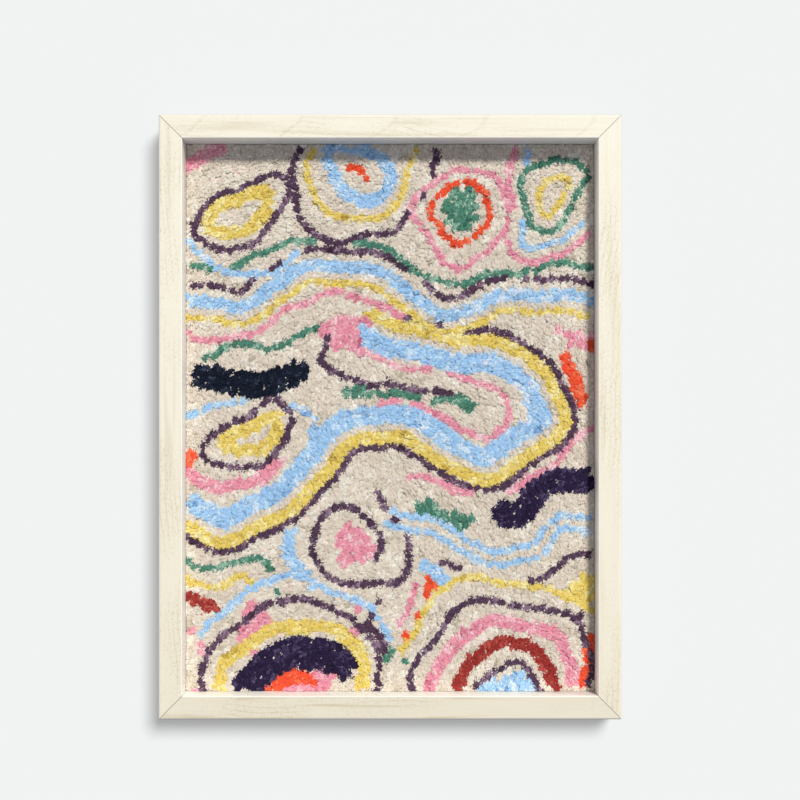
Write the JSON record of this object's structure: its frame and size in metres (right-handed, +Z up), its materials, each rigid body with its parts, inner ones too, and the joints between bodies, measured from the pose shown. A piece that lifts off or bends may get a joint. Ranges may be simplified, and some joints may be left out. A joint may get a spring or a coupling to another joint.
{
  "type": "tufted wall art in a wood box frame",
  "caption": "Rectangular tufted yarn picture with a cut pile, set back behind the face of a deep mitred pale wood box frame that hangs flat on a wall.",
  "frame": {"origin": "middle of the top rail's back face, on the wall", "axes": "+Z up along the picture's height, +Y towards the wall, +X to the right of someone who looks at the picture"},
  "size_m": [0.334, 0.031, 0.436],
  "materials": {
    "pale_wood": "pale whitewashed wood, matt, fine grain along each rail",
    "pale_spacer": "matt white coating",
    "tufted_yarn": "cut pile of cream, plum, sky blue, yellow, pink, green, red and navy yarn"
  },
  "bodies": {
    "root": {"rail_top": "pale_wood", "rail_bottom": "pale_wood", "rail_left": "pale_wood", "rail_right": "pale_wood", "spacer_top": "pale_spacer", "spacer_bottom": "pale_spacer", "spacer_left": "pale_spacer", "spacer_right": "pale_spacer", "tufted_cloth": "tufted_yarn"}
  },
  "joints": []
}
